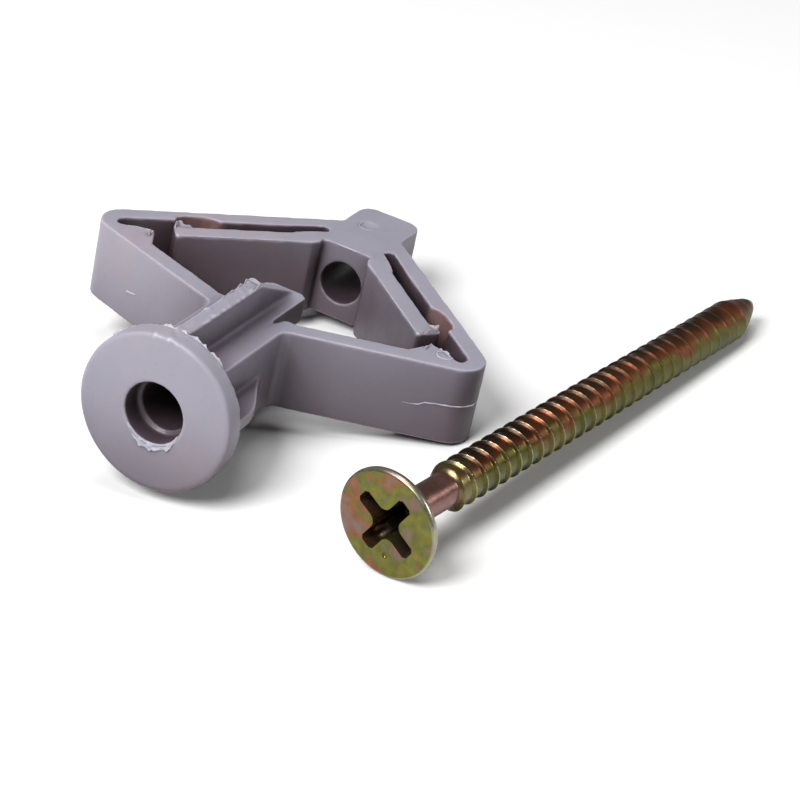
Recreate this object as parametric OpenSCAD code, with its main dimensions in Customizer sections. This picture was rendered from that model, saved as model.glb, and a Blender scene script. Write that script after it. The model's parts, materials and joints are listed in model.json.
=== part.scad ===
// Plasterboard wing anchor, moulded open in one piece, with its countersunk screw.
// The anchor's own axis runs along X, front flange at x = 0, nut block at the far end.
// Its two wings move in the anchor's own XY plane. The pair lies on a table at z = 0.

/* [Flange and sleeve] */
// flange diameter
flange_d = 13.5; // [11:0.1:15]
// flange thickness
flange_t = 2; // [1.2:0.1:3]
// wide mouth of the screw hole, through the flange
mouth_d = 5.2; // [4.8:0.1:6]
// screw hole through the sleeve
hole_d = 4.4; // [4.2:0.1:4.8]
// height of the sleeve, the wings and the nut block
body_h = 7; // [6:0.1:8]
// width of the sleeve
sleeve_w = 6.9; // [6:0.1:8]
// end of the sleeve, where the wings leave it
sleeve_x = 13.2; // [11:0.1:16]
// end of the two guide rails in front of the sleeve
rail_x = 20.9; // [18:0.1:22]
// width of the guide rails
rail_w = 3.9; // [3.4:0.1:4.4]
// thickness of the long ribs above and below
rib_t = 1.3; // [0.8:0.1:2]
// full height of the long ribs from the axis
rib_r = 6.45; // [5:0.05:6.5]
// where the long ribs start to taper
rib_x = 14.1; // [10:0.1:16]

/* [Wings] */
// root hinge axis, distance from the flange face
root_x = 14.6; // [14:0.1:15.5]
// distance of the root and top hinge axes from the middle
hinge_y = 3.2; // [2.8:0.05:3.6]
// top hinge axis, distance from the flange face
top_x = 33; // [32:0.1:34]
// elbow hinge axis, distance from the middle
elbow_y = 15.5; // [14:0.1:17]
// slope of the lower leg against the axis
leg_a = 68.7; // [60:0.1:75]
// slope of the strap and strut against the axis
strap_a = 46.6; // [40:0.1:52]
// thickness of the lower leg
leg_t = 1.74; // [1.2:0.02:2.2]
// thickness of the strap
strap_t = 1.65; // [1.2:0.05:2]
// thickness of the strut
strut_t = 1.75; // [1.2:0.05:2.2]
// clearance between a knuckle and its socket
gap = 0.05; // [0.03:0.01:0.1]

/* [Nut block] */
// inner face
block_x = 31.9; // [31:0.1:33]
// outer end
end_x = 41.2; // [40:0.1:43]
// width between the wings
block_w = 4.9; // [4:0.1:5.4]
// width of the cap
cap_w = 5.8; // [5:0.1:6.4]
// screw hole in the nut block
nut_d = 3.9; // [3.4:0.05:4]

/* [Screw] */
// overall length
screw_l = 53.4; // [40:0.1:80]
// head diameter
head_d = 9.1; // [7.5:0.1:9.4]
// outside diameter of the thread
thread_d = 4; // [3.9:0.05:4.3]
// root diameter of the thread
core_d = 3; // [2.6:0.1:3.4]
// plain part under the head
plain_d = 2.9; // [2.6:0.1:3.4]
// start of the thread from the head face
thread_x = 7.9; // [6:0.1:20]
// thread pitch
pitch = 1.5; // [1.3:0.05:2]
// cross recess, from tip to tip
recess_w = 5.9; // [4:0.1:6.2]
// turn of the cross recess about the screw's axis
recess_turn = 36; // [0:1:90]
// where the head face stands on the table, x
screw_px = -0.3; // [-10:0.1:10]
// where the head face stands on the table, y
screw_py = -20.5; // [-30:0.1:-15]
// direction of the screw on the table
screw_yaw = -11.8; // [-30:0.1:30]

/* [Hidden] */
$fn = 64;
h = body_h / 2;
plastic = [0.55, 0.53, 0.59];
zinc = [0.62, 0.56, 0.33];
// the elbow axis lies midway, so both links are equal and the wings close exactly
elbow_x = (root_x + top_x) / 2;
// unit vectors: u along the lower leg, s along the strap towards the block, q out of it
lu = [cos(leg_a), sin(leg_a)];
lq = [-sin(leg_a), cos(leg_a)];
su = [cos(strap_a), -sin(strap_a)];
sq = [sin(strap_a), cos(strap_a)];
P1 = [root_x, hinge_y];
PE = [elbow_x, elbow_y];
P2 = [top_x, hinge_y];
// knuckle radius at the hinge axes
kr = 1.12;
// strap faces measured out from the elbow axis, strut faces measured in from it
so = strap_t / 2;
si = -strap_t / 2;
to = -2.13;
ti = to - strut_t;
// point at a along the strap from the elbow axis and b out of it
function sp(a, b) = PE + a * su + b * sq;
// point at a along the lower leg from the root axis and b out of it
function lp(a, b) = P1 + a * lu + b * lq;
// points of an arc about c, from angle a0 to a1 in n steps
function arc(c, r, a0, a1, n) =
    [for (i = [0:n]) let (a = a0 + (a1 - a0) * i / n) c + r * [cos(a), sin(a)]];
// an outline carried on to the other side of the axis
function flip(l) = [for (i = [len(l) - 1:-1:0]) [l[i][0], -l[i][1]]];
// the outer faces of leg and strap meet at the corner, rounded with bend_r
lo = leg_t / 2;
corner = let (p = lp(0, lo), r = sp(0, so), d = r - p,
    k = (d[0] * su[1] - d[1] * su[0]) / (lu[0] * su[1] - lu[1] * su[0])) p + k * lu;
bend_r = 2.4;
half = (180 - leg_a - strap_a) / 2;
inward = -90 + (leg_a - strap_a) / 2;
bend_c = corner + bend_r / sin(half) * [cos(inward), sin(inward)];

// how the anchor leans: end of the lower rib, right elbow and block end touch the table
c1 = [rib_x, -rib_t / 2, -rib_r];
c2 = [end_x - 0.44, -cap_w / 2 + 0.3, -h];
c3 = [bend_c[0] + bend_r * cos(50), -bend_c[1] - bend_r * sin(50), -h];
nn = cross(c2 - c1, c3 - c1);
tn = nn * (nn[2] > 0 ? 1 : -1) / norm(nn);
pitch_a = asin(-tn[0]);
roll_a = asin(tn[1] / cos(pitch_a));
lift = -(tn * c1);
// shift that centres the pair on the origin
ox = -25.44;
oy = 6.83;

module lean() translate([ox, oy, lift]) rotate([roll_a, pitch_a, 0]) children();
module side(left) mirror([0, left ? 0 : 1, 0]) children();
module slab(hh = body_h) translate([0, 0, -hh / 2]) linear_extrude(hh) children();
module along_x(x0, x1, r)
    translate([x0, 0, 0]) rotate([0, 90, 0]) cylinder(r = r, h = x1 - x0);

// flange: disc with an eased front edge and the wide mouth of the screw hole
module flange() color(plastic) lean() rotate([0, 90, 0]) rotate_extrude($fn = 96)
    polygon(concat([[mouth_d / 2, 0]], arc([flange_d / 2 - 0.35, 0.35], 0.35, -90, 0, 6),
        [[flange_d / 2, flange_t - 0.15], [flange_d / 2 - 0.15, flange_t], [mouth_d / 2, flange_t]]));

// sleeve: square tube that runs on as two guide rails with open sides
sleeve_half = [[flange_t, sleeve_w / 2], [sleeve_x, sleeve_w / 2], [sleeve_x, rail_w / 2],
    [rail_x - 0.5, rail_w / 2], [rail_x, rail_w / 2 - 0.5]];
window_h = 2.6;
module sleeve() color(plastic) lean() difference() {
    slab() polygon(concat(sleeve_half, flip(sleeve_half)));
    along_x(flange_t - 1, rail_x + 1, hole_d / 2);
    translate([sleeve_x, -5, -window_h / 2]) cube([20, 10, window_h]);
}

// long rib: full height behind the flange, tapering away over the guide rails
module long_rib() rotate([90, 0, 0]) translate([0, 0, -rib_t / 2]) linear_extrude(rib_t)
    polygon([[flange_t, h], [rail_x - 0.4, h], [rail_x - 0.7, h + 0.25],
        [rib_x + 0.3, rib_r - 0.1], [rib_x, rib_r], [flange_t, rib_r]]);
module rib_top() color(plastic) lean() long_rib();
module rib_bottom() color(plastic) lean() mirror([0, 0, 1]) long_rib();

// side rib: low web between flange and sleeve that grips the hole in the board
module side_rib() slab(1) polygon([[flange_t, sleeve_w / 2], [flange_t, 5.9], [5.1, 5.9], [5.9, 5.75],
    [7.2, 5.2], [8.6, 4.5], [9.8, 3.9], [11, sleeve_w / 2]]);
module side_rib_left() color(plastic) lean() side(true) side_rib();
module side_rib_right() color(plastic) lean() side(false) side_rib();

// root hinge: curved web from the sleeve to the foot of the lower leg
module root_hinge() slab() polygon(concat(
    [[sleeve_x, rail_w / 2 + 0.07], [13.9, 2.12], [14.5, 2.2], [15.05, 2.4]],
    arc(P1, kr, -35, leg_a + 46, 14), [[13.75, 3.62], [sleeve_x, sleeve_w / 2]]));
module root_hinge_left() color(plastic) lean() side(true) root_hinge();
module root_hinge_right() color(plastic) lean() side(false) root_hinge();

// lower leg: straight plate that turns the outer corner and ends at the elbow hinge
catch_at = 10.1;
catch_back = [[20.0, 14.6], [20.25, 15.6], [20.3, 16.35]];
module lower_leg() slab() polygon(concat(
    arc(P1, kr + gap, leg_a + 46, leg_a - 46, 12),
    [lp(1.5, -lo), lp(catch_at, -lo)], catch_back,
    [[20.65, 16.75], [21.2, 16.8], [21.75, 16.5]],
    [sp(-2, si), sp(-1.3, si), sp(-1.3, so), sp(-1.8, so)],
    arc(bend_c, bend_r, 90 - strap_a, 90 + leg_a, 14),
    [lp(1.5, lo)]));
module lower_leg_left() color(plastic) lean() side(true) lower_leg();
module lower_leg_right() color(plastic) lean() side(false) lower_leg();

// catch: undercut tooth inside the elbow that takes the end of the strut
module catch() slab() polygon(concat(
    catch_back, [[20.6, 15.55], [20.95, 14.9], [21.35, 13.4], lp(catch_at, -lo)]));
module catch_left() color(plastic) lean() side(true) catch();
module catch_right() color(plastic) lean() side(false) catch();

// elbow hinge: thin film between the corner of the lower leg and the strap
module elbow_hinge() slab() polygon(concat([sp(-1.3, 0.45), sp(-1.3, -0.45)],
    arc(PE, kr, -strap_a - 24, -strap_a + 24, 8)));
module elbow_hinge_left() color(plastic) lean() side(true) elbow_hinge();
module elbow_hinge_right() color(plastic) lean() side(false) elbow_hinge();

// strap: outer strip with a thinned zone, joined to the strut around the top hinge
shoulder_r = 2.9;
module strap() slab() polygon(concat(
    arc(PE, kr + gap, -strap_a - 44, -strap_a + 44, 12),
    [sp(1.4, so)],
    arc(P2, shoulder_r, 16.7, 7, 4),
    arc(P2, kr + gap, 8, 128, 14),
    [sp(12.9, si), sp(6.3, si), sp(5.6, si + 0.5), sp(4.8, si + 0.75),
     sp(3.2, si + 0.8), sp(2.5, si + 0.55), sp(2.2, si), sp(1.4, si)]));
module strap_left() color(plastic) lean() side(true) strap();
module strap_right() color(plastic) lean() side(false) strap();

// strut: inner bar with a hooked end that seats under the catch
module strut() slab() polygon(concat(
    [sp(1.55, ti + 0.25), sp(1.75, to + 0.1), sp(1.9, to + 0.5), sp(2.15, to + 0.55), sp(2.4, to + 0.3),
     sp(2.75, to), sp(3.3, to), sp(12.6, to), sp(12.9, si)],
    arc(P2, kr + gap, 128, 157, 6),
    [P2 + 1.365 * [cos(157.4), sin(157.4)], P2 + [-2.55, -0.416], sp(12.2, ti), sp(1.7, ti)]));
module strut_left() color(plastic) lean() side(true) strut();
module strut_right() color(plastic) lean() side(false) strut();

// top hinge: knuckle on the side of the nut block, pierced by the rounded end of the slit
module top_hinge() slab() difference() {
    translate(P2) circle(r = kr);
    translate([33.7, 3.4]) circle(r = 0.48);
    translate([20, block_w / 2 - 6]) square([20, 6]);
}
module top_hinge_left() color(plastic) lean() side(true) top_hinge();
module top_hinge_right() color(plastic) lean() side(false) top_hinge();

// nut block: square block with ears that meet the straps, a rounded cap and the screw hole
cap_r = 1.25;
cap_half = concat([[block_x, block_w / 2]], arc(P2, shoulder_r + gap, -14.7, 14.8, 8),
    [sp(17.55, so), [36.55, 3.1], [36.9, cap_w / 2]],
    arc([end_x - cap_r, cap_w / 2 - cap_r], cap_r, 90, 0, 7));
module nut_block() color(plastic) lean() difference() {
    slab() polygon(concat(cap_half, flip(cap_half)));
    along_x(block_x - 1, end_x + 1, nut_d / 2);
}

// screw: countersunk head with a cross recess, plain neck, ridged thread and point
ridges = floor((screw_l - 4.2 - thread_x) / pitch);
ridge = [[core_d / 2, 0.11], [thread_d / 2, 0.55], [thread_d / 2, 0.71], [core_d / 2, 1.15]];
head_h = (head_d - plain_d) / 2 * 0.86;
// the screw rests on its head's rim and on the last full ridge
tip_a = atan((head_d - thread_d) / 2 / (thread_x + (ridges - 1) * pitch + 0.1));
screw_half = concat(
    [[0, 0], [head_d / 2 - 0.3, 0], [head_d / 2, 0.25], [head_d / 2, 0.6],
     [plain_d / 2 + 0.25, head_h], [plain_d / 2, head_h + 0.6],
     [plain_d / 2, thread_x - 0.5], [core_d / 2, thread_x]],
    [for (i = [0:ridges - 1]) for (q = ridge) [q[0], thread_x + i * pitch + q[1] * pitch / 1.5]],
    [[core_d / 2, screw_l - 4], [1.3, screw_l - 3.4], [1.5, screw_l - 3],
     [0.9, screw_l - 2], [0.9, screw_l - 1.8], [0, screw_l]]);
module screw() color(zinc)
    translate([ox + screw_px, oy + screw_py, head_d / 2 * cos(tip_a) + 0.6 * sin(tip_a)])
    rotate([0, 0, screw_yaw]) rotate([0, 90 + tip_a, 0]) difference() {
        rotate_extrude($fn = 72) polygon(screw_half);
        for (a = [recess_turn, recess_turn + 90]) rotate([0, 0, a]) translate([0, 0, 0.15])
            cube([recess_w, 1, 2.3], center = true);
        translate([0, 0, -1]) cylinder(r = 1.15, h = 3.2, $fn = 32);
    }

flange();
sleeve();
rib_top();
rib_bottom();
side_rib_left();
side_rib_right();
root_hinge_left();
root_hinge_right();
lower_leg_left();
lower_leg_right();
catch_left();
catch_right();
elbow_hinge_left();
elbow_hinge_right();
strap_left();
strap_right();
strut_left();
strut_right();
top_hinge_left();
top_hinge_right();
nut_block();
screw();
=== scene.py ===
"""Wall anchor and its screw: a moulded plastic skin cut at its living hinges, and a threaded steel screw.

The CAD says where everything is. The anchor's shapes are worked out in millimetres in its own frame, and
the screw's in millimetres from the middle of its head's face. Both are then placed in the row frame, which
is the CAD's, in metres.
"""

import json
import math

import bmesh
import bpy
import numpy as np
from mathutils import Matrix, Vector, noise
from mathutils.bvhtree import BVHTree
from mathutils.kdtree import KDTree


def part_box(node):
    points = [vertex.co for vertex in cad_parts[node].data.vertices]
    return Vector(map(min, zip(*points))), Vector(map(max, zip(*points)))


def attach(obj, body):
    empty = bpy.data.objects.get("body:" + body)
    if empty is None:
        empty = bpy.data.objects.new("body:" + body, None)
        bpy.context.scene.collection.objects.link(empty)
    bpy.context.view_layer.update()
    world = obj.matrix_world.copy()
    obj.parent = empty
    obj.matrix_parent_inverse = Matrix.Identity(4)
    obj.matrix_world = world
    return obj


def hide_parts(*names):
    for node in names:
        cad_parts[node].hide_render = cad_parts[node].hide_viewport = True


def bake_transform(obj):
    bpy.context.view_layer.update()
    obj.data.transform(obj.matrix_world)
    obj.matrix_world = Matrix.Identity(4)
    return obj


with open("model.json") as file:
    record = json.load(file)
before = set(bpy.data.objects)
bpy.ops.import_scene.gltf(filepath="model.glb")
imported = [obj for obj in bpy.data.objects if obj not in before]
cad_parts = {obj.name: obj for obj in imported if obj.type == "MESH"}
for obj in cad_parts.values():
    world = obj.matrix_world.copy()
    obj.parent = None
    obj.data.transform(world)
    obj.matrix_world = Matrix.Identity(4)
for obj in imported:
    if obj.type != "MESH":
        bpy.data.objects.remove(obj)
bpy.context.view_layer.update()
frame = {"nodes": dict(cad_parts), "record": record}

MM = 0.001
record = frame["record"]
joints = {j["name"]: j for j in record["behaviour"]["joints"]}
mounts = {m["name"]: m for m in record["mounts"]}

# ---------------------------------------------------------------- the anchor's own frame
# X from the flange to the nut block, Y to the left wing, Z out of the plane that the wings move in
HINGE = {name: Vector(joints[name]["pos_m"]) for name in joints if "pos_m" in joints[name]}
root_mid = (HINGE["root_left"] + HINGE["root_right"]) / 2
top_mid = (HINGE["top_left"] + HINGE["top_right"]) / 2
axis_x = (top_mid - root_mid).normalized()
axis_z = Vector(joints["root_right"]["axis"]).normalized()
axis_y = axis_z.cross(axis_x)
flange_to_root = (root_mid - Vector(mounts["flange_front"]["pos_m"])).dot(axis_x)
anchor_origin = root_mid - axis_x * flange_to_root
LEAN = Matrix.Translation(anchor_origin) @ Matrix((axis_x, axis_y, axis_z)).transposed().to_4x4()
TO_ROW = LEAN @ Matrix.Scale(MM, 4)
TO_ANCHOR = TO_ROW.inverted()


def in_anchor(point):
    """A point of the row frame, in millimetres in the anchor's frame."""
    p = TO_ANCHOR @ Vector(point)
    return np.array((p.x, abs(p.y)))


ROOT = in_anchor(HINGE["root_left"])
ELBOW = in_anchor(HINGE["elbow_left"])
# half the moulding's thickness, which is also the height of its top face
HALF = 3.5
# angles of the strap and of the lower leg to the anchor's axis
STRAP_A = math.radians(46.6)
LEG_A = math.radians(68.7)
STRAP_DIR = np.array((math.cos(STRAP_A), -math.sin(STRAP_A)))
STRAP_OUT = np.array((math.sin(STRAP_A), math.cos(STRAP_A)))
LEG_DIR = np.array((math.cos(LEG_A), math.sin(LEG_A)))
LEG_OUT = np.array((-math.sin(LEG_A), math.cos(LEG_A)))
# half the thickness of the strap, and how far the leg's outer face stands from the root axis
STRAP_HALF = 0.82
LEG_FACE = 0.88
# centre of the gate mark on the cap
GATE = (37.5, 0.8)


def strap_at(along, out):
    """A point of the wing's plane, measured from the elbow axis along the strap and out of it."""
    return tuple(ELBOW + along * STRAP_DIR + out * STRAP_OUT)


def leg_at(along, out):
    """A point of the wing's plane, measured from the root axis along the lower leg and out of it."""
    return tuple(ROOT + along * LEG_DIR + out * LEG_OUT)


def arc(centre, radius, start, end, steps):
    """Points along an arc, with angles in degrees."""
    turns = [math.radians(start + (end - start) * i / steps) for i in range(steps + 1)]
    return [(centre[0] + radius * math.cos(t), centre[1] + radius * math.sin(t)) for t in turns]


# ---------------------------------------------------------------- mesh helpers
def new_object(name, data):
    made = bpy.data.objects.new(name, data)
    bpy.context.scene.collection.objects.link(made)
    return made


def prism(outline, low=-HALF, high=HALF, side=1):
    """A bmesh of the outline carried from low to high, mirrored to the right wing when side is -1."""
    bm = bmesh.new()
    rings = [[bm.verts.new((x, side * y, z)) for x, y in outline] for z in (low, high)]
    bm.faces.new(rings[0])
    bm.faces.new(rings[1])
    for i in range(len(outline)):
        j = (i + 1) % len(outline)
        bm.faces.new((rings[0][i], rings[0][j], rings[1][j], rings[1][i]))
    bmesh.ops.recalc_face_normals(bm, faces=bm.faces)
    return bm


def join(parts, name):
    """One object from several bmeshes."""
    mesh = bpy.data.meshes.new(name)
    whole = bmesh.new()
    for bm in parts:
        part = bpy.data.meshes.new("part")
        bm.to_mesh(part)
        whole.from_mesh(part)
        bpy.data.meshes.remove(part)
        bm.free()
    whole.to_mesh(mesh)
    whole.free()
    return new_object(name, mesh)


def applied(obj, name):
    """The object with its modifiers turned into a mesh."""
    graph = bpy.context.evaluated_depsgraph_get()
    mesh = bpy.data.meshes.new_from_object(obj.evaluated_get(graph))
    made = new_object(name, mesh)
    bpy.data.objects.remove(obj)
    return made


def remesh(obj, smooth, name):
    """The object as one closed grid of voxels, smoothed a number of times."""
    grid = obj.modifiers.new("grid", "REMESH")
    grid.mode = "VOXEL"
    grid.voxel_size = VOXEL
    if smooth:
        soften = obj.modifiers.new("soften", "SMOOTH")
        soften.factor = 0.5
        soften.iterations = smooth
    return applied(obj, name)


def combine(obj, other, operation, name, keep=False):
    """A boolean of two closed meshes; the second is removed, and the first too unless it is kept."""
    work = obj.copy() if keep else obj
    if keep:
        bpy.context.scene.collection.objects.link(work)
    cut = work.modifiers.new("cut", "BOOLEAN")
    cut.operation = operation
    cut.solver = "MANIFOLD"
    cut.object = other
    made = applied(work, name)
    bpy.data.objects.remove(other)
    return made


def coordinates(mesh, kind="co"):
    """The mesh's points, or with kind "normal" its normals, as rows."""
    values = np.empty(len(mesh.vertices) * 3)
    mesh.vertices.foreach_get(kind, values)
    return values.reshape(-1, 3)


def smoothstep(x):
    """0 up to x = 0, 1 from x = 1, and a smooth rise between them."""
    x = np.clip(x, 0, 1)
    return x * x * (3 - 2 * x)


# ---------------------------------------------------------------- the moulding
ANCHOR_NODES = [name for name in frame["nodes"] if name != "screw"]
VOXEL = 0.12


def node_mesh(name):
    """A CAD node in the anchor's frame, with its doubled points joined."""
    bm = bmesh.new()
    bm.from_mesh(frame["nodes"][name].data)
    bmesh.ops.transform(bm, matrix=TO_ANCHOR, verts=bm.verts)
    bmesh.ops.remove_doubles(bm, verts=bm.verts, dist=1e-4)
    return bm


def hinge_webs(side):
    """Webs that close the CAD's running gaps, so the moulding is one skin from flange to nut block."""
    root = arc(ROOT, 0.9, 34, 104, 8) + arc(ROOT, 1.36, 104, 34, 8)
    elbow = [strap_at(-1.9, STRAP_HALF), strap_at(1.8, STRAP_HALF),
             strap_at(1.8, -STRAP_HALF), strap_at(-1.9, -STRAP_HALF)]
    outer = [(33.5, 2.3), (36.4, 2.2), (36.45, 3.3),
             strap_at(16.4, STRAP_HALF), strap_at(13.2, STRAP_HALF), strap_at(14.0, -0.5)]
    inner = [strap_at(12.4, -2.2), strap_at(12.0, -3.87),
             (30.45, 2.75), (31.2, 2.35), (33.4, 2.35), (33.2, 3.0)]
    return [prism(points, side=side) for points in (root, elbow, outer, inner)]


def slit(side):
    """The slit between strap and strut runs on to its rounded end beside the nut block."""
    end = strap_at(15.55, -1.18)
    turn = math.degrees(-STRAP_A)
    points = [strap_at(11.6, -0.84), strap_at(14.8, -0.74)]
    points += arc(end, 0.56, turn + 60, turn - 60, 10)
    points += [strap_at(14.8, -1.68), strap_at(11.6, -2.11)]
    return prism(points, -5, 5, side)


def cap_dimple():
    """A ball that leaves a shallow round gate mark on top of the cap."""
    radius, deep = 1.9, 0.28
    bm = bmesh.new()
    bmesh.ops.create_uvsphere(bm, u_segments=32, v_segments=16, radius=radius)
    bmesh.ops.transform(bm, matrix=Matrix.Translation((*GATE, HALF + radius - deep)), verts=bm.verts)
    return bm


def moulding():
    """The whole anchor as one skin: CAD nodes and hinge webs run together, with slits and gate mark."""
    parts = [node_mesh(name) for name in ANCHOR_NODES]
    for side in (1, -1):
        parts += hinge_webs(side)
    skin = remesh(join(parts, "solids"), 0, "union")
    skin = combine(skin, join([slit(1), slit(-1), cap_dimple()], "slits"), "DIFFERENCE", "slit")
    return remesh(skin, 4, "skin")


def wobble(co, scale, seed):
    """Smooth noise of about -1 to 1 at each point."""
    return np.array([noise.noise(Vector(p) * scale + Vector((seed, seed * 1.7, -seed))) for p in co])


def weather(skin):
    """Small faults of a real moulding: soft waves all over, and rougher top, rib edge and flange rim."""
    mesh = skin.data
    co = coordinates(mesh)
    x, y, z = co.T
    push = 0.018 * wobble(co, 0.35, 3.0)
    top = smoothstep((z - 3.2) / 0.25) * (x > 14)
    push += top * 0.02 * wobble(co, 1.1, 8.0)
    rib = smoothstep((z - 6.1) / 0.25) * (abs(y) < 1.2)
    push += rib * 0.12 * np.maximum(0, wobble(co, 1.6, 5.0))
    rim = smoothstep((np.hypot(y, z) - 6.3) / 0.15) * smoothstep((x - 1.0) / 0.8) * (x < 2.3)
    push += rim * 0.10 * np.maximum(0, wobble(co, 1.5, 7.0))
    mesh.vertices.foreach_set("co", (co + coordinates(mesh, "normal") * push[:, None]).ravel())
    mesh.update()
    return skin


# ---------------------------------------------------------------- regions of the skin
# what anchor_pieces() finds out about the skin before it is cut: how convex it is, and its surface
LOOKUP = {}
# distances of the cuts along the anchor's axis, and sideways from it
SHANK_SIDE = 8
SEAM = 13.3
RAIL_END = 22.5
RAIL = 1.99
LEG_SIDE = 24.0
BLOCK_BACK = 35.0
BLOCK_SIDE = 2.45
# distances of the cuts along the strap, from the elbow axis
LEG_END = -1.8
CORNER_END = 0.9
TOP_START = 11.5
TOP_END = 16.9
# distances of the cuts out of the strap: through the corner, along the slit, and clear of the wing
CORNER_CUT = -1.05
SLIT_MID = -1.46
INSIDE = -9
OUTSIDE = 6
# half the depth of the cutters, clear of the moulding above and below
CUT_HALF = 9


def region_shank():
    half = [(-1, SHANK_SIDE), (SEAM, SHANK_SIDE), (SEAM, RAIL), (RAIL_END, RAIL)]
    return [(x, -y) for x, y in half] + half[::-1]


def region_leg():
    return [(SEAM, RAIL), (19, RAIL), strap_at(CORNER_END, INSIDE), strap_at(CORNER_END, CORNER_CUT),
            strap_at(LEG_END, CORNER_CUT), strap_at(LEG_END, OUTSIDE), (SEAM, LEG_SIDE)]


def region_strap():
    return [strap_at(LEG_END, CORNER_CUT), strap_at(CORNER_END, CORNER_CUT), strap_at(CORNER_END, SLIT_MID),
            strap_at(TOP_START, SLIT_MID), strap_at(TOP_START, OUTSIDE), strap_at(LEG_END, OUTSIDE)]


def region_strut():
    return [strap_at(CORNER_END, SLIT_MID), strap_at(CORNER_END, INSIDE),
            strap_at(TOP_START, INSIDE), strap_at(TOP_START, SLIT_MID)]


def region_top():
    return [strap_at(TOP_START, OUTSIDE), strap_at(TOP_START, -4.9), (30.2, BLOCK_SIDE),
            (BLOCK_BACK, BLOCK_SIDE), strap_at(TOP_END, 0.2), strap_at(TOP_END, OUTSIDE)]


def region_block():
    half = [(31.0, BLOCK_SIDE), (BLOCK_BACK, BLOCK_SIDE),
            strap_at(TOP_END, 0.2), strap_at(TOP_END, OUTSIDE), (44, 10)]
    return half + [(x, -y) for x, y in reversed(half)]


def film(co):
    """How thin the strap is at each point, 0 to 1, on the inner face of its thinned zone."""
    spot = np.stack([co[:, 0], abs(co[:, 1])], 1) - ELBOW
    along, out = spot @ STRAP_DIR, spot @ STRAP_OUT
    inner = smoothstep((0.3 - out) / 0.5) * (out > -1.0) * smoothstep((3.6 - abs(co[:, 2])) / 0.3)
    return smoothstep((along - 2.0) / 0.5) * smoothstep((7.2 - along) / 1.5) * inner


def edge_wear(mesh):
    """How convex the skin is at each vertex, in millimetres of rise over its neighbours."""
    co = coordinates(mesh)
    ends = np.empty(len(mesh.edges) * 2, dtype=np.int32)
    mesh.edges.foreach_get("vertices", ends)
    first, second = ends.reshape(-1, 2).T
    count = np.bincount(ends, minlength=len(co))

    def around(values):
        total = np.bincount(first, values[second], len(co)) + np.bincount(second, values[first], len(co))
        return total / count

    middle = np.stack([around(co[:, i]) for i in range(3)], 1)
    rise = ((co - middle) * coordinates(mesh, "normal")).sum(1)
    for _ in range(2):
        rise = around(rise)
    return rise


def wear_lookup(skin):
    """A function that gives how convex the skin is at any points near it."""
    wear = edge_wear(skin.data)
    tree = KDTree(len(wear))
    for i, p in enumerate(coordinates(skin.data)):
        tree.insert(p, i)
    tree.balance()
    return lambda co: np.array([wear[tree.find(p)[1]] for p in co])


def store(mesh, name, values):
    """Keeps a value for each point of the mesh, for a material to read."""
    mesh.attributes.new(name, "FLOAT", "POINT").data.foreach_set("value", values.astype(np.float32))


def piece(skin, name, outline, side=1):
    """The part of the skin over an outline, placed in the row frame."""
    cutter = join([prism(outline, -CUT_HALF, CUT_HALF, side)], "cutter")
    made = combine(skin, cutter, "INTERSECT", name, keep=True)
    co = coordinates(made.data)
    store(made.data, "film", film(co))
    store(made.data, "edge", smoothstep((LOOKUP["wear"](co) - 0.004) / 0.012))
    made.data.transform(TO_ROW)
    made.data.shade_smooth()
    made.data.set_sharp_from_angle(angle=math.radians(50))
    return made


def anchor_pieces(skin, plastic):
    """The skin cut into its regions: shank, block and struts each ride their body, legs, straps and tops stay
    in the row frame.
    """
    LOOKUP["wear"] = wear_lookup(skin)
    faces = [polygon.vertices for polygon in skin.data.polygons]
    LOOKUP["surface"] = BVHTree.FromPolygons([vertex.co for vertex in skin.data.vertices], faces)
    body = piece(skin, "shank_skin", region_shank())
    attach(body, "shank")
    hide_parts("flange", "sleeve", "rib_top", "rib_bottom", "side_rib_left", "side_rib_right")
    block = piece(skin, "block_skin", region_block())
    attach(block, "nut_block")
    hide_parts("nut_block")
    made = [body, block]
    for hand, side, last in (("left", 1, "top_hinge_left"), ("right", -1, "nut_block")):
        leg = piece(skin, f"leg_skin_{hand}", region_leg(), side)
        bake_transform(leg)
        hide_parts(f"root_hinge_{hand}", f"lower_leg_{hand}", f"catch_{hand}")
        strap = piece(skin, f"strap_skin_{hand}", region_strap(), side)
        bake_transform(strap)
        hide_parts(f"elbow_hinge_{hand}", f"strap_{hand}")
        strut = piece(skin, f"strut_skin_{hand}", region_strut(), side)
        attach(strut, f"upper_leg_{hand}")
        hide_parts(f"strut_{hand}")
        top = piece(skin, f"top_skin_{hand}", region_top(), side)
        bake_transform(top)
        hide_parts(f"top_hinge_{hand}")
        made += [leg, strap, strut, top]
    for obj in made:
        obj.data.materials.clear()
        obj.data.materials.append(plastic)
    bpy.data.objects.remove(skin)


# ---------------------------------------------------------------- flash and marks left by the mould
STEP = 0.1
EIGHTHS = np.linspace(0, 2 * math.pi, 8, endpoint=False)
# half the top rib's thickness, and how high it stands over the shank's axis
RIB_EDGE = 0.62
RIB_TOP = 6.45


def traced(points):
    """Points every tenth of a millimetre along a path, each brought onto the skin."""
    line = [Vector(points[0])]
    for a, b in zip(points, points[1:]):
        a, b = Vector(a), Vector(b)
        steps = max(1, int((b - a).length / STEP))
        line += [a.lerp(b, (i + 1) / steps) for i in range(steps)]
    return [LOOKUP["surface"].find_nearest(p + 0.06 * noise.noise_vector(p * 1.4))[0] for p in line]


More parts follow.
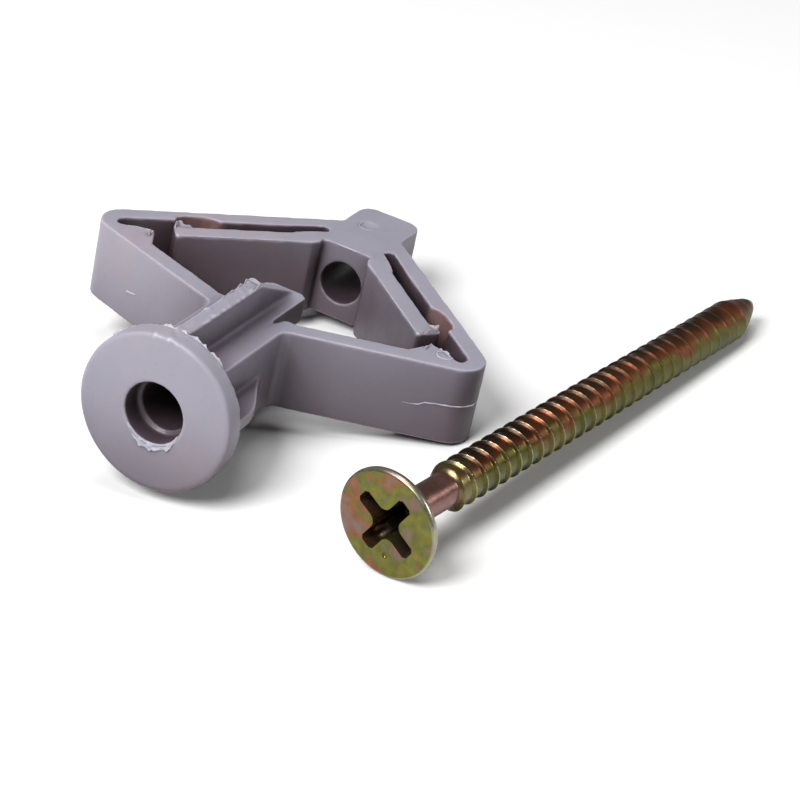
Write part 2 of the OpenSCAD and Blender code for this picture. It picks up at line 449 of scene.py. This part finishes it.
def lofted(rows):
    """A closed bmesh through rows of points that all have the same length."""
    bm = bmesh.new()
    rows = [[bm.verts.new(p) for p in row] for row in rows]
    bm.faces.new(rows[0])
    bm.faces.new(rows[-1])
    for a, b in zip(rows, rows[1:]):
        for i in range(len(a)):
            j = (i + 1) % len(a)
            bm.faces.new((a[i], a[j], b[j], b[i]))
    bmesh.ops.recalc_face_normals(bm, faces=bm.faces)
    return bm


def fade_ends(i, count):
    """Height of the i-th of count places along a line: 1, but low at both ends."""
    return min(1.0, 0.15 + 6 * i / count, 0.15 + 6 * (count - 1 - i) / count)


def ahead_at(line, i):
    """Direction of the line at its i-th point."""
    return (line[min(i + 1, len(line) - 1)] - line[max(i - 1, 0)]).normalized()


def bead(points, radius):
    """A thin raised line of plastic along points, in the anchor's frame."""
    line = traced(points)
    rows = []
    for i, p in enumerate(line):
        turn = ahead_at(line, i).to_track_quat("Z", "Y").to_matrix()
        r = radius * fade_ends(i, len(line)) * (1 + 0.7 * noise.noise(p * 2.1 + Vector((9, 2, 4))))
        rows.append([p + turn @ Vector((r * math.cos(t), r * math.sin(t), 0)) for t in EIGHTHS])
    return lofted(rows)


def flash(points, outward, height):
    """A thin fin with a torn edge along points; outward gives its direction at a point."""
    half_thick, sunk, tip_share = 0.05, 0.08, 0.35
    line = traced(points)
    rows = []
    for i, p in enumerate(line):
        out = Vector(outward(p)).normalized()
        side = ahead_at(line, i).cross(out).normalized() * half_thick
        torn = 0.35 + 1.1 * noise.noise(p * 1.3 + Vector((3, 8, 1))) + 0.4 * noise.noise(p * 4.0)
        tip = height * fade_ends(i, len(line)) * max(0.06, torn)
        lean = side * 1.5 * noise.noise(p * 2.6 + Vector((5, 5, 1)))
        rows.append([p - out * sunk - side, p - out * sunk + side,
                     p + out * tip + side * tip_share + lean, p + out * tip - side * tip_share + lean])
    return lofted(rows)


def ring(x, radius, start, end, steps=60):
    """Points round the shank's axis; angles in degrees from the left wing towards the top."""
    turns = [math.radians(start + (end - start) * i / steps) for i in range(steps + 1)]
    return [(x, radius * math.cos(t), radius * math.sin(t)) for t in turns]


def on_top(points, side):
    """Points of the wing's plane, on the wing's upper face."""
    return [(x, side * y, HALF) for x, y in points]


def rim_outward(p):
    return 0.7, p.y / 7, p.z / 7


def mouth_outward(p):
    return -0.5, p.y / 3, p.z / 3


def upward(p):
    return 0, 0, 1


def shank_marks():
    """Flash on the flange's rim, a burr at the screw hole's mouth, and the torn end of the top rib."""
    flange_r = (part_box("flange")[1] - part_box("flange")[0]).y / MM / 2
    rim_x = 2.0
    rib_end = [(9.5, RIB_EDGE, RIB_TOP), (13.0, RIB_EDGE, RIB_TOP), (14.1, 0.5, 6.35), (14.1, -0.5, 6.35),
               (12.6, -RIB_EDGE, RIB_TOP)]
    return [flash(ring(rim_x, flange_r, 130, 62), rim_outward, 0.35),
            flash(ring(rim_x, flange_r, 58, 2), rim_outward, 0.5),
            flash(ring(rim_x, flange_r, -4, -38), rim_outward, 0.25),
            flash(ring(0.0, 2.62, -155, -38), mouth_outward, 0.35),
            flash(ring(0.0, 2.9, -135, -58), mouth_outward, 0.4),
            bead(ring(0.0, 3.0, -118, -70), 0.13),
            flash(rib_end, upward, 0.3),
            bead([(14.1, RIB_EDGE, 6.2), (20.3, RIB_EDGE, 3.9)], 0.05)]


def parting_line():
    """Points of the split that wanders over the right leg's outer face and round its corner."""
    over_leg = [(10.5, -0.5), (11.2, -0.5), (11.9, -0.38), (12.4, -0.12), (13.2, -0.02)]
    round_corner = [(14.6, 0.9, 0.04), (15.6, 0.5, 0.05), (16.3, -0.4, 0.05), (16.6, -1.4, 0.05)]
    spots = [(along, LEG_FACE, z) for along, z in over_leg] + round_corner
    return [(x, -y, z) for (x, y), z in ((leg_at(along, out), z) for along, out, z in spots)]


def marks():
    """Each mark: the body it sits on, and its beads and fins."""
    scuff = [(*leg_at(along, LEG_FACE), z) for along, z in ((10.5, -0.85), (9.9, -0.78), (9.2, -0.6))]
    ejector = arc((20.45, 15.1), 0.68, 0, 360, 40)
    crescent = arc(GATE, 0.75, 60, 250, 12)
    tooth = [(19.7, 13.3), (21.3, 13.45), (20.95, 14.8), (20.5, 15.6)]
    hook = [strap_at(3.4, -2.2), strap_at(2.3, -1.7), strap_at(1.8, -2.2), strap_at(1.7, -3.6)]
    strut_edge = [strap_at(along, -3.85) for along in (1.9, 5, 8, 12)]
    block_edge = [(31.9, -1.3), (31.9, 1.3)]
    return [
        ("shank", shank_marks()),
        ("lower_leg_right", [bead(parting_line(), 0.06), bead(on_top(ejector, -1), 0.06),
                             flash(on_top(tooth, -1), upward, 0.45)]),
        ("lower_leg_left", [bead(scuff, 0.07), flash(on_top(tooth, 1), upward, 1.0)]),
        ("upper_leg_right", [bead(on_top(strut_edge, -1), 0.05), flash(on_top(hook, -1), upward, 0.5)]),
        ("upper_leg_left", [bead(on_top(strut_edge, 1), 0.04), flash(on_top(hook, 1), upward, 0.6)]),
        ("nut_block", [bead(on_top(block_edge, 1), 0.06), bead(on_top(crescent, 1), 0.06)]),
    ]


def mark_pieces(thin_plastic):
    for body, shapes in marks():
        made = join(shapes, f"flash_{body}")
        made.data.transform(TO_ROW)
        made.data.materials.append(thin_plastic)
        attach(made, body)


# ---------------------------------------------------------------- the screw
SCREW_L = 53.4
HEAD_R = 4.55
HEAD_H = 2.67
NECK_R = 1.45
CORE_R = 1.76
THREAD_R = 2.0
PITCH = 1.5
THREAD_START = 7.4
FADE_START = 26.0
TIP_START = 49.4
# the point stands this far off the axis
POINT_RISE = 0.35
# radius where the cone under the head ends
CONE_R = NECK_R + 0.28
# points in each turn of the skin
AROUND = 96
# the thread's olive lower side, as a direction across the screw: to the right, seen from the head, and down;
# the side opposite gets painted shade
OLIVE = (-0.8, -0.6)
RECESS_TURN = 36
ARM_BEVEL = 0.25
# depth below the head's face, half the span from tip to tip, half an arm's width, inner corner radius
RECESS = ((-1.0, 3.2, 0.72, 0.8), (0.0, 2.95, 0.66, 0.75), (1.0, 2.8, 0.62, 0.66), (1.6, 2.45, 0.58, 0.56),
          (1.9, 1.6, 0.54, 0.4), (2.6, 1.25, 0.45, 0.3), (3.3, 0.9, 0.3, 0.2))


def ridge(phase):
    """Height of the thread, 0 to 1, at a phase of its turn: a narrow crest, steeper towards the head."""
    rise = smoothstep((phase - 0.36) / 0.14)
    fall = smoothstep((0.74 - phase) / 0.24)
    return np.minimum(rise, fall) ** 1.3


def screw_radius(x, turn):
    """Radius, and height on the crest from 0 to 1, at a distance x and a turn about the axis."""
    grow = smoothstep((x - THREAD_START) / 0.35)
    fade = 1 - 0.72 * smoothstep((x - FADE_START) / (TIP_START - FADE_START))
    taper = np.clip((SCREW_L - x) / (SCREW_L - TIP_START), 0.02, 1) ** 0.62
    core = NECK_R + (CORE_R - NECK_R) * grow + (THREAD_R - CORE_R) * (1 - fade) * 0.6
    phase = (x / PITCH - turn / (2 * math.pi)) % 1.0
    height = (THREAD_R - core) * ridge(phase) * grow * fade
    return (core + height) * taper, ridge(phase) * grow


def screw_rings():
    """(x, radius or None for the thread) from the middle of the head's face to the point."""
    dish, rim_end, rim_end_r = 0.05, 0.66, HEAD_R - 0.1
    face = [(dish * (1 - r / HEAD_R), r) for r in np.linspace(0.25, HEAD_R - 0.35, 12)]
    rim = [(0.02, HEAD_R - 0.22), (0.08, HEAD_R - 0.1), (0.2, HEAD_R - 0.02), (0.38, HEAD_R),
           (0.55, HEAD_R - 0.02), (rim_end, rim_end_r)]
    cone = [(rim_end + (HEAD_H - rim_end) * t, rim_end_r + (CONE_R - rim_end_r) * t)
            for t in np.linspace(0.1, 1, 10)]
    fillet = [(HEAD_H + 0.22, NECK_R + 0.11), (HEAD_H + 0.5, NECK_R + 0.02)]
    shaft = [(x, None) for x in np.arange(HEAD_H + 0.8, SCREW_L - 0.05, 0.07)]
    return face + rim + cone + fillet + shaft


def screw_body():
    """The screw without its recess; each point carries how high it is on the thread and how far along."""
    rings = screw_rings()
    turn = np.linspace(0, 2 * math.pi, AROUND, endpoint=False)
    points, crest = [], []
    for x, radius in rings:
        if radius is None:
            r, high = screw_radius(np.full(AROUND, x), turn)
        else:
            r, high = np.full(AROUND, radius), np.full(AROUND, 1.0)
        rise = POINT_RISE * smoothstep((x - TIP_START) / (SCREW_L - TIP_START))
        points.append(np.stack([np.full(AROUND, x), r * np.cos(turn), r * np.sin(turn) + rise], 1))
        crest.append(high)
    bm = bmesh.new()
    crest_layer = bm.verts.layers.float.new("crest")
    along_layer = bm.verts.layers.float.new("along")
    rows = []
    for around, high in zip(points, crest):
        row = [bm.verts.new(p) for p in around]
        for vert, value in zip(row, high):
            vert[crest_layer] = value
            vert[along_layer] = vert.co.x / SCREW_L
        rows.append(row)
    for a, b in zip(rows, rows[1:]):
        for i in range(AROUND):
            j = (i + 1) % AROUND
            bm.faces.new((a[i], a[j], b[j], b[i]))
    for row, x, z in ((rows[0], 0.05, 0), (rows[-1], SCREW_L, POINT_RISE)):
        pole = bm.verts.new((x, 0, z))
        pole[crest_layer] = 1.0
        pole[along_layer] = x / SCREW_L
        for i in range(AROUND):
            bm.faces.new((row[i], row[(i + 1) % AROUND], pole))
    bmesh.ops.recalc_face_normals(bm, faces=bm.faces)
    return bm


def cross_outline(reach, width, corner):
    """A cross with rounded inner corners, as points round the axis."""
    points = []
    for quarter in range(4):
        turn = math.radians(RECESS_TURN + 90 * quarter)
        c, d = math.cos(turn), math.sin(turn)
        arm = arc((width + corner, -width - corner), corner, 180, 90, 5)
        arm += [(reach - ARM_BEVEL, -width), (reach, -width * 0.6),
                (reach, width * 0.6), (reach - ARM_BEVEL, width)]
        points += [(a * c - b * d, a * d + b * c) for a, b in arm]
    return points


def recess():
    return lofted([[(depth, y, z) for y, z in cross_outline(*shape)] for depth, *shape in RECESS])


def head_pip():
    """Small round dent beside the recess."""
    bm = bmesh.new()
    bmesh.ops.create_uvsphere(bm, u_segments=16, v_segments=8, radius=0.25)
    bmesh.ops.translate(bm, verts=bm.verts, vec=(-0.04, -0.15, -2.7))
    return bm


def store_screw_wear(mesh):
    """What the zinc needs: recess depth for painted shade, head edge for a painted highlight, and thread tone
    with painted shade on top.
    """
    co = coordinates(mesh)
    x, y, z = co.T
    radius = np.hypot(y, z)
    wall = np.interp(x, (0.6, HEAD_H), (HEAD_R, CONE_R))
    # painted shade: darker the deeper a point lies in the recess
    store(mesh, "recess_painted_shade", smoothstep((x - 0.1) / 1.6) * (radius < wall - 0.3) * (x < 3.5))
    # painted highlight: a thin, patchy bright band on the head's front edge
    front = 1 - 0.5 * smoothstep((x - 0.14) / 0.12)
    patchy = 0.7 + 0.3 * wobble(co, 1.1, 9.0)
    store(mesh, "rim", smoothstep((radius - HEAD_R + 0.15) / 0.1) * front * patchy)
    # tone: random patches plus painted shade, dark on the side away from the olive side
    facing = (OLIVE[0] * y + OLIVE[1] * z) / np.maximum(radius, 0.1)
    store(mesh, "tone_and_painted_shade", np.clip(0.5 + 0.4 * facing + 0.3 * wobble(co, 0.45, 6.0), 0, 1))


def screw_place():
    """The screw's own frame, in millimetres from the middle of its head's face, placed in the row frame."""
    spot = mounts["driver_recess"]
    along = -Vector(spot["axis"]).normalized()
    across = Vector((0, 0, 1)).cross(along).normalized()
    turned = Matrix((along, across, along.cross(across))).transposed().to_4x4()
    return Matrix.Translation(Vector(spot["pos_m"])) @ turned @ Matrix.Scale(MM, 4)


def screw_piece(steel):
    body = join([screw_body()], "screw_body")
    body = combine(body, join([recess()], "recess"), "DIFFERENCE", "recessed")
    body = combine(body, join([head_pip()], "pip"), "DIFFERENCE", "screw_skin")
    store_screw_wear(body.data)
    body.data.transform(screw_place())
    body.data.shade_smooth()
    body.data.set_sharp_from_angle(angle=math.radians(42))
    body.data.materials.clear()
    body.data.materials.append(steel)
    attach(body, "screw")
    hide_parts("screw")


# ---------------------------------------------------------------- materials
BLACK = (0.0, 0.0, 0.0)
WHITE = (1.0, 1.0, 1.0)


def grey(value):
    return (value,) * 3


def material(name):
    """A new material with its node tree, its shader and the object's own coordinates."""
    made = bpy.data.materials.new(name)
    made.use_nodes = True
    tree = made.node_tree
    shader = tree.nodes["Principled BSDF"]
    place = tree.nodes.new("ShaderNodeTexCoord")
    return made, tree, shader, place.outputs["Object"]


def noise_node(tree, where, scale, detail=2.0, rough=0.5):
    made = tree.nodes.new("ShaderNodeTexNoise")
    made.inputs["Scale"].default_value = scale
    made.inputs["Detail"].default_value = detail
    made.inputs["Roughness"].default_value = rough
    tree.links.new(where, made.inputs["Vector"])
    return made.outputs["Fac"]


def ramp(tree, value, stops):
    """The value turned into a colour by stops of (value, colour)."""
    made = tree.nodes.new("ShaderNodeValToRGB")
    elements = made.color_ramp.elements
    while len(elements) > 1:
        elements.remove(elements[-1])
    elements[0].position = stops[0][0]
    elements[0].color = (*stops[0][1], 1)
    for at, colour in stops[1:]:
        elements.new(at).color = (*colour, 1)
    tree.links.new(value, made.inputs["Fac"])
    return made.outputs["Color"]


def mix(tree, share, first, second, kind="MIX"):
    """Two colours mixed; the share and each colour are either a plain value or another node's output."""
    made = tree.nodes.new("ShaderNodeMix")
    made.data_type = "RGBA"
    made.blend_type = kind
    for name, value in (("Factor", share), ("A", first), ("B", second)):
        socket = made.inputs[name]
        if isinstance(value, bpy.types.NodeSocket):
            tree.links.new(value, socket)
        elif isinstance(value, tuple):
            socket.default_value = (*value, 1)
        else:
            socket.default_value = value
    return made.outputs["Result"]


def part_of(tree, share, value):
    """The value, made smaller by a share."""
    return mix(tree, share, BLACK, value)


def bump(tree, shader, layers):
    """Chained bumps; each layer is (height, strength, distance)."""
    previous = None
    for height, strength, distance in layers:
        made = tree.nodes.new("ShaderNodeBump")
        made.inputs["Strength"].default_value = strength
        made.inputs["Distance"].default_value = distance
        tree.links.new(height, made.inputs["Height"])
        if previous:
            tree.links.new(previous, made.inputs["Normal"])
        previous = made.outputs["Normal"]
    tree.links.new(previous, shader.inputs["Normal"])


def attribute(tree, name):
    made = tree.nodes.new("ShaderNodeAttribute")
    made.attribute_name = name
    return made.outputs["Fac"]


def set_plastic(tree, shader, where, colour):
    """Moulded plastic: uneven sheen, a little light scattered inside, and a fine grain."""
    tree.links.new(colour, shader.inputs["Base Color"])
    rough = ramp(tree, noise_node(tree, where, 400, 4), [(0.3, grey(0.34)), (0.7, grey(0.50))])
    tree.links.new(rough, shader.inputs["Roughness"])
    shader.inputs["Specular IOR Level"].default_value = 0.45
    shader.inputs["IOR"].default_value = 1.49
    shader.inputs["Subsurface Weight"].default_value = 0.3
    shader.inputs["Subsurface Radius"].default_value = (1.0, 0.5, 0.45)
    shader.inputs["Subsurface Scale"].default_value = 0.001
    waves = noise_node(tree, where, 350, 3)
    grain = noise_node(tree, where, 3200, 2)
    bump(tree, shader, [(waves, 0.25, 0.06 * MM), (grain, 0.12, 0.01 * MM)])


def plastic_material():
    """Mauve grey plastic with painted shade in hollows and between parts, warmer where the strap is thin and
    paler along its edges.
    """
    made, tree, shader, where = material("moulded_plastic")
    cloudy = ramp(tree, noise_node(tree, where, 90, 3), [
        (0.3, (0.235, 0.228, 0.275)), (0.55, (0.260, 0.248, 0.295)), (0.75, (0.290, 0.252, 0.288))])
    specks = ramp(tree, noise_node(tree, where, 1500, 2), [(0.28, grey(0.8)), (0.4, WHITE)])
    colour = mix(tree, 0.2, cloudy, specks, "MULTIPLY")
    # painted shade: the colour darkens where little open space is around a point, in hollows, between parts
    # and low near the floor
    shade = tree.nodes.new("ShaderNodeAmbientOcclusion")
    shade.samples = 16
    shade.inputs["Distance"].default_value = 0.014
    painted_shade = ramp(tree, shade.outputs["AO"], [
        (0.25, (0.16, 0.11, 0.11)), (0.5, (0.32, 0.25, 0.26)), (0.75, (0.64, 0.60, 0.62)), (0.95, WHITE)])
    colour = mix(tree, 1.0, colour, painted_shade, "MULTIPLY")
    colour = mix(tree, part_of(tree, 0.6, attribute(tree, "film")), colour, (0.25, 0.15, 0.13))
    # paler where the skin is convex, along its edges
    colour = mix(tree, part_of(tree, 0.55, attribute(tree, "edge")), colour, (0.45, 0.43, 0.49))
    set_plastic(tree, shader, where, colour)
    return made


def thin_plastic_material():
    """The same plastic where it stands out as flash, paler."""
    made, tree, shader, where = material("thin_plastic")
    set_plastic(tree, shader, where, ramp(tree, noise_node(tree, where, 500, 3), [
        (0.3, (0.30, 0.28, 0.33)), (0.7, (0.42, 0.40, 0.46))]))
    return made


def zinc_colour(tree, where):
    """Yellow zinc: patchy head, reddish neck, and a thread from painted shade on its upper side through
    orange to olive below.
    """
    patches = noise_node(tree, where, 300, 1.5, 0.5)
    face = ramp(tree, patches, [
        (0.34, (0.20, 0.12, 0.10)), (0.41, (0.12, 0.13, 0.03)), (0.48, (0.18, 0.16, 0.03)),
        (0.54, (0.12, 0.14, 0.04)), (0.60, (0.24, 0.10, 0.04)), (0.68, (0.20, 0.14, 0.12))])
    neck = ramp(tree, patches, [
        (0.35, (0.17, 0.10, 0.07)), (0.5, (0.24, 0.12, 0.11)), (0.65, (0.18, 0.07, 0.065))])
    # painted shade at low tone on the thread's upper side, orange and olive further round, with random
    # patches
    thread = ramp(tree, attribute(tree, "tone_and_painted_shade"), [
        (0.12, (0.03, 0.018, 0.01)), (0.32, (0.07, 0.032, 0.015)), (0.47, (0.17, 0.05, 0.02)),
        (0.58, (0.11, 0.06, 0.018)), (0.70, (0.11, 0.095, 0.018)), (0.95, (0.07, 0.075, 0.016))])
    along = attribute(tree, "along")
    colour = mix(tree, ramp(tree, along, [(0.045, BLACK), (0.06, WHITE)]), face, neck)
    colour = mix(tree, ramp(tree, along, [(0.135, BLACK), (0.145, WHITE)]), colour, thread)
    first_turn = ramp(tree, along, [(0.133, BLACK), (0.142, WHITE), (0.16, WHITE), (0.19, BLACK)])
    colour = mix(tree, part_of(tree, 0.6, first_turn), colour, (0.20, 0.17, 0.07))
    colour = mix(tree, ramp(tree, along, [(0.975, BLACK), (0.99, WHITE)]), colour, (0.62, 0.54, 0.52))
    dirt = ramp(tree, noise_node(tree, where, 1300, 4, 0.6), [(0.35, (0.7, 0.65, 0.6)), (0.6, WHITE)])
    return mix(tree, 0.6, colour, dirt, "MULTIPLY")


def steel_material():
    """The screw: painted highlights on crests and head edge, painted shade in the recess, duller towards the
    point.
    """
    made, tree, shader, where = material("yellow_zinc")
    colour = zinc_colour(tree, where)
    along = attribute(tree, "along")
    # painted highlight: thin bright lines along the thread's crests, fading towards the point
    crest_highlight = ramp(tree, attribute(tree, "crest"), [(0.75, BLACK), (0.97, grey(0.55))])
    on_thread = ramp(tree, along, [
        (0.137, BLACK), (0.142, WHITE), (0.45, grey(0.6)), (0.62, grey(0.15)), (0.85, grey(0.05))])
    colour = mix(tree, mix(tree, 1.0, crest_highlight, on_thread, "MULTIPLY"), colour, (0.55, 0.46, 0.30))
    # painted highlight on the head's front edge
    colour = mix(tree, attribute(tree, "rim"), colour, (0.50, 0.47, 0.43))
    # painted shade inside the recess
    colour = mix(tree, attribute(tree, "recess_painted_shade"), colour, (0.022, 0.014, 0.007))
    tree.links.new(colour, shader.inputs["Base Color"])
    shader.inputs["Metallic"].default_value = 0.85
    rough = ramp(tree, noise_node(tree, where, 900, 4, 0.6), [(0.3, grey(0.22)), (0.7, grey(0.38))])
    rough = mix(tree, ramp(tree, along, [(0.3, BLACK), (0.6, grey(0.9))]), rough, grey(0.5))
    tree.links.new(rough, shader.inputs["Roughness"])
    dents = noise_node(tree, where, 700, 4, 0.6)
    grain = noise_node(tree, where, 4000, 2)
    bump(tree, shader, [(dents, 0.25, 0.05 * MM), (grain, 0.15, 0.01 * MM)])
    return made


# ---------------------------------------------------------------- stage, light and camera
# name, place, diameter in metres, power in watts
LAMPS = [("key", (-0.26, 0.08, 0.32), 0.24, 2.5), ("top", (0.05, 0.02, 0.45), 0.25, 0.8),
         ("side", (0.15, -0.38, 0.20), 0.15, 0.7)]
WORLD_STRENGTH = 0.10
# half the floor's side, and how far it lies under the pair, in metres
FLOOR_HALF = 3.0
FLOOR_DROP = 2e-5
FLOOR_GREY = 0.75
# place in millimetres; turn from +X, downward angle and roll in degrees; focal length in millimetres
CAMERA_AT = (-171.18, -81.61, 111.61)
CAMERA_TURN = 24.82
CAMERA_DOWN = 30.89
CAMERA_ROLL = 2.97
CAMERA_LENS = 115.16


def floor():
    mesh = bpy.data.meshes.new("floor")
    signs = ((-1, -1), (1, -1), (1, 1), (-1, 1))
    corners = [(x * FLOOR_HALF, y * FLOOR_HALF, -FLOOR_DROP) for x, y in signs]
    mesh.from_pydata(corners, [], [(0, 1, 2, 3)])
    made, _, shader, _ = material("pale_floor")
    shader.inputs["Base Color"].default_value = (*grey(FLOOR_GREY), 1)
    shader.inputs["Roughness"].default_value = 0.9
    mesh.materials.append(made)
    new_object("floor", mesh)


def light():
    world = bpy.data.worlds.new("studio")
    world.use_nodes = True
    world.node_tree.nodes["Background"].inputs["Color"].default_value = (1, 1, 1, 1)
    world.node_tree.nodes["Background"].inputs["Strength"].default_value = WORLD_STRENGTH
    bpy.context.scene.world = world
    for name, place, size, power in LAMPS:
        lamp = bpy.data.lights.new(name, "AREA")
        lamp.shape = "DISK"
        lamp.size = size
        lamp.energy = power
        obj = new_object(name, lamp)
        obj.location = place
        obj.rotation_mode = "QUATERNION"
        obj.rotation_quaternion = Vector(place).to_track_quat("Z", "Y")


def camera():
    turn, down, roll = (math.radians(v) for v in (CAMERA_TURN, CAMERA_DOWN, CAMERA_ROLL))
    ahead = Vector((math.cos(turn) * math.cos(down), math.sin(turn) * math.cos(down), -math.sin(down)))
    level = Vector((ahead.y, -ahead.x, 0)).normalized()
    right = level * math.cos(roll) + level.cross(ahead) * math.sin(roll)
    up = right.cross(ahead)
    data = bpy.data.cameras.new("camera")
    data.sensor_width = 36
    data.lens = CAMERA_LENS
    data.clip_start = 0.01
    obj = new_object("camera", data)
    turned = Matrix((right, up, -ahead)).transposed().to_4x4()
    obj.matrix_world = Matrix.Translation(Vector(CAMERA_AT) * MM) @ turned
    bpy.context.scene.camera = obj


anchor_pieces(weather(moulding()), plastic_material())
mark_pieces(thin_plastic_material())
screw_piece(steel_material())
floor()
light()
camera()
bpy.context.scene.view_settings.view_transform = "Standard"
